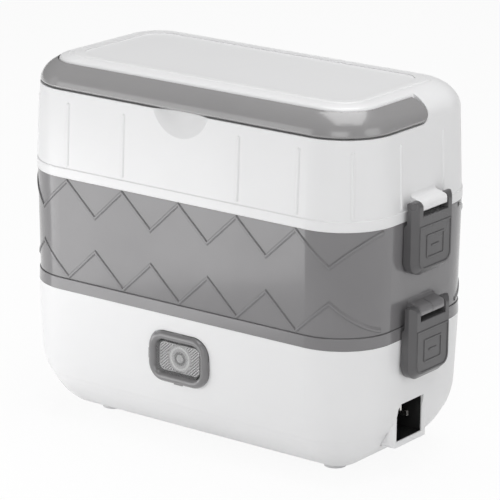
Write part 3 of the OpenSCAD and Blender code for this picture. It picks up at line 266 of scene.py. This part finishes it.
def buildHatchTree():
    tree = bpy.data.node_groups.new("switchHatch", "GeometryNodeTree")
    for name in ("pitch", "slant", "width", "height", "corner", "clearing", "ridgeWidth", "ridgeHeight"):
        tree.interface.new_socket(name, in_out="INPUT", socket_type="NodeSocketFloat")
    tree.interface.new_socket("place", in_out="INPUT", socket_type="NodeSocketVector")
    tree.interface.new_socket("finish", in_out="INPUT", socket_type="NodeSocketMaterial")
    tree.interface.new_socket("Geometry", in_out="OUTPUT", socket_type="NodeSocketGeometry")
    given = tree.nodes.new("NodeGroupInput").outputs

    def calc(operation, *values):
        return addStep(tree, "ShaderNodeMath", dict(enumerate(values)), operation=operation).outputs[0]

    def calcVector(operation, *values):
        return addStep(tree, "ShaderNodeVectorMath", dict(enumerate(values)), operation=operation)

    reach = calc("ADD", given["width"], given["height"])
    count = calc("CEIL", calc("DIVIDE", reach, given["pitch"]))
    offset = addStep(tree, "ShaderNodeCombineXYZ", {"Y": given["pitch"]}).outputs[0]
    first = addStep(tree, "ShaderNodeCombineXYZ", {"Y": calc("MULTIPLY", reach, -0.5)}).outputs[0]
    rows = addStep(tree, "GeometryNodeMeshLine", {"Count": count, "Start Location": first, "Offset": offset})
    halfReach = addStep(tree, "ShaderNodeCombineXYZ", {"X": calc("MULTIPLY", reach, 0.5)}).outputs[0]
    start = addStep(tree, "ShaderNodeVectorMath", {0: halfReach, "Scale": -1.0}, operation="SCALE").outputs[0]
    line = addStep(tree, "GeometryNodeCurvePrimitiveLine", {"Start": start, "End": halfReach})
    fine = addStep(tree, "GeometryNodeResampleCurve",
        {"Curve": line.outputs[0], "Count": hatch["pointsPerLine"]}, mode="COUNT")
    spreadOut = addStep(tree, "GeometryNodeInstanceOnPoints", {"Points": rows.outputs[0], "Instance": fine.outputs[0]})
    lines = addStep(tree, "GeometryNodeRealizeInstances", {"Geometry": spreadOut.outputs[0]})
    turn = addStep(tree, "ShaderNodeCombineXYZ", {"Z": calc("RADIANS", given["slant"])}).outputs[0]
    turned = addStep(tree, "GeometryNodeTransform", {"Geometry": lines.outputs[0], "Rotation": turn})
    wires = addStep(tree, "GeometryNodeCurveToMesh", {"Curve": turned.outputs[0]})

    # a point stays inside the rounded outline and outside the round clearing
    point = tree.nodes.new("GeometryNodeInputPosition").outputs[0]
    halfRoom = addStep(tree, "ShaderNodeCombineXYZ", {
        "X": calc("SUBTRACT", calc("MULTIPLY", given["width"], 0.5), given["corner"]),
        "Y": calc("SUBTRACT", calc("MULTIPLY", given["height"], 0.5), given["corner"])}).outputs[0]
    past = calcVector("SUBTRACT", calcVector("ABSOLUTE", point).outputs[0], halfRoom).outputs[0]
    corner = calcVector("LENGTH", calcVector("MAXIMUM", past, (0, 0, 0)).outputs[0]).outputs["Value"]
    outside = calc("GREATER_THAN", corner, given["corner"])
    fromMiddle = calcVector("LENGTH", point).outputs["Value"]
    inside = calc("LESS_THAN", fromMiddle, calc("MULTIPLY", given["clearing"], 0.5))
    kept = addStep(tree, "GeometryNodeDeleteGeometry",
        {"Geometry": wires.outputs[0], "Selection": calc("MAXIMUM", outside, inside)}, domain="POINT")
    cut = addStep(tree, "GeometryNodeMeshToCurve", {"Mesh": kept.outputs[0]})
    straight = addStep(tree, "GeometryNodeResampleCurve", {"Curve": cut.outputs[0], "Count": 2}, mode="COUNT")
    upright = addStep(tree, "GeometryNodeSetCurveNormal", {"Curve": straight.outputs[0]}, mode="Z_UP")
    section = addStep(tree, "GeometryNodeCurvePrimitiveQuadrilateral", {"Bottom Width": given["ridgeWidth"],
        "Top Width": calc("MULTIPLY", given["ridgeWidth"], 0.25), "Height": given["ridgeHeight"],
        "Offset": 0.0}, mode="TRAPEZOID")
    ridges = addStep(tree, "GeometryNodeCurveToMesh",
        {"Curve": upright.outputs[0], "Profile Curve": section.outputs[0], "Fill Caps": True})
    quarter = addStep(tree, "GeometryNodeTransform",
        {"Geometry": ridges.outputs[0], "Translation": given["place"], "Rotation": (math.pi / 2, 0, 0)})
    real = addStep(tree, "GeometryNodeRealizeInstances", {"Geometry": quarter.outputs[0]})
    finished = addStep(tree, "GeometryNodeSetMaterial", {"Geometry": real.outputs[0], "Material": given["finish"]})
    result = tree.nodes.new("NodeGroupOutput")
    tree.links.new(finished.outputs[0], result.inputs[0])
    return tree


def makeFromTree(name, tree, values):
    holder = bpy.data.objects.new(name, bpy.data.meshes.new(name))
    bpy.context.scene.collection.objects.link(holder)
    modifier = holder.modifiers.new("nodes", "NODES")
    modifier.node_group = tree
    for socket in tree.interface.items_tree:
        if socket.in_out == "INPUT" and socket.name in values:
            modifier[socket.identifier] = values[socket.name]
    graph = bpy.context.evaluated_depsgraph_get()
    mesh = bpy.data.meshes.new_from_object(holder.evaluated_get(graph))
    holder.modifiers.remove(modifier)
    holder.data = mesh
    return holder


hatchPiece = makeFromTree("switch_hatch", buildHatchTree(), {**hatch, "place": hatch["at"],
    "finish": materials["plate_grey"]})
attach(hatchPiece, "switch_button")
print("hatch ridges:", len(hatchPiece.data.vertices) // 8)


# Floor, lights and camera

floorPlan = {"size": 12.0, "color": (0.9, 0.9, 0.9), "below": 0.0002,
    "ownShare": 0.08}      # how much of the floor's own shading is seen, which keeps the shadow
bpy.ops.mesh.primitive_plane_add(size=floorPlan["size"], location=(0, 0, -floorPlan["below"]))
floor = bpy.context.object
floor.name = "floor"
floorMaterial = bpy.data.materials.new("paleFloor")
floorMaterial.use_nodes = True
floorTree = floorMaterial.node_tree
floorTree.nodes.clear()
pale = floorTree.nodes.new("ShaderNodeBsdfDiffuse")
pale.inputs["Color"].default_value = (*floorPlan["color"], 1)
glow = floorTree.nodes.new("ShaderNodeEmission")
glow.inputs["Color"].default_value = (1, 1, 1, 1)
glow.inputs["Strength"].default_value = 1.0
rays = floorTree.nodes.new("ShaderNodeLightPath")
seen = floorTree.nodes.new("ShaderNodeMath")
seen.operation = "ADD"
seenAll = floorTree.nodes.new("ShaderNodeMath")
seenAll.operation = "ADD"
share = floorTree.nodes.new("ShaderNodeMath")
share.operation = "MULTIPLY"
share.inputs[1].default_value = 1 - floorPlan["ownShare"]
both = floorTree.nodes.new("ShaderNodeMixShader")
ground = floorTree.nodes.new("ShaderNodeOutputMaterial")
floorTree.links.new(rays.outputs["Is Camera Ray"], seen.inputs[0])
floorTree.links.new(rays.outputs["Is Glossy Ray"], seen.inputs[1])
floorTree.links.new(seen.outputs[0], seenAll.inputs[0])
floorTree.links.new(rays.outputs["Is Transmission Ray"], seenAll.inputs[1])
floorTree.links.new(seenAll.outputs[0], share.inputs[0])
floorTree.links.new(share.outputs[0], both.inputs["Fac"])
floorTree.links.new(pale.outputs[0], both.inputs[1])
floorTree.links.new(glow.outputs[0], both.inputs[2])
floorTree.links.new(both.outputs[0], ground.inputs["Surface"])
floor.data.materials.append(floorMaterial)

worldStrength = 0.24
world = bpy.data.worlds.new("studio")
bpy.context.scene.world = world
world.use_nodes = True
world.node_tree.nodes["Background"].inputs["Color"].default_value = (1, 1, 1, 1)
world.node_tree.nodes["Background"].inputs["Strength"].default_value = worldStrength

lampPlan = {
    "bandKey": {"at": (-0.95, -1.25, 0.42), "size": (0.75, 0.7), "power": 2.7},
    "frontRight": {"at": (0.9, -1.5, 0.7), "size": (1.0, 1.0), "power": 7.3},
    "frontLow": {"at": (-0.225, -0.268, 0.06), "size": (0.29, 0.12), "power": 0.255},
    "topSoft": {"at": (0.1, 0.1, 1.5), "size": (1.4, 1.0), "power": 15.2},
    "rightFill": {"at": (1.6, 0.1, 0.6), "size": (0.9, 0.9), "power": 4.2},
    "leftStrip": {"at": (-0.46, -0.24, 0.2), "size": (0.1, 0.42), "power": 0.08},
}
middle = Vector((0, 0, 0.11))
for name, plan in lampPlan.items():
    lamp = bpy.data.lights.new(name, "AREA")
    lamp.shape = "RECTANGLE"
    lamp.size, lamp.size_y = plan["size"]
    lamp.energy = plan["power"]
    lampObject = bpy.data.objects.new(name, lamp)
    lampObject.location = plan["at"]
    lampObject.rotation_euler = (middle - Vector(plan["at"])).to_track_quat("-Z", "Y").to_euler()
    lampObject.visible_camera = False
    bpy.context.scene.collection.objects.link(lampObject)

cameraPlan = {"yaw": 36.78, "pitch": 16.52, "roll": 0.46, "distance": 1.699, "lens": 216.2,
    "target": (0.00867, -0.00775, 0.10856)}
yaw, pitch, roll = (math.radians(cameraPlan[key]) for key in ("yaw", "pitch", "roll"))
back = Vector((math.sin(yaw) * math.cos(pitch), -math.cos(yaw) * math.cos(pitch), math.sin(pitch)))
right = Vector((math.cos(yaw), math.sin(yaw), 0))
up = back.cross(right)
turnedRight = right * math.cos(roll) + up * math.sin(roll)
turnedUp = up * math.cos(roll) - right * math.sin(roll)
camera = bpy.data.cameras.new("photoCamera")
camera.lens = cameraPlan["lens"]
camera.sensor_width = 36
camera.clip_end = 20
cameraObject = bpy.data.objects.new("photoCamera", camera)
cameraObject.matrix_world = Matrix((turnedRight, turnedUp, back)).transposed().to_4x4()
cameraObject.location = Vector(cameraPlan["target"]) + back * cameraPlan["distance"]
bpy.context.scene.collection.objects.link(cameraObject)
bpy.context.scene.camera = cameraObject
bpy.context.scene.view_settings.view_transform = "Standard"
print("studio ready")
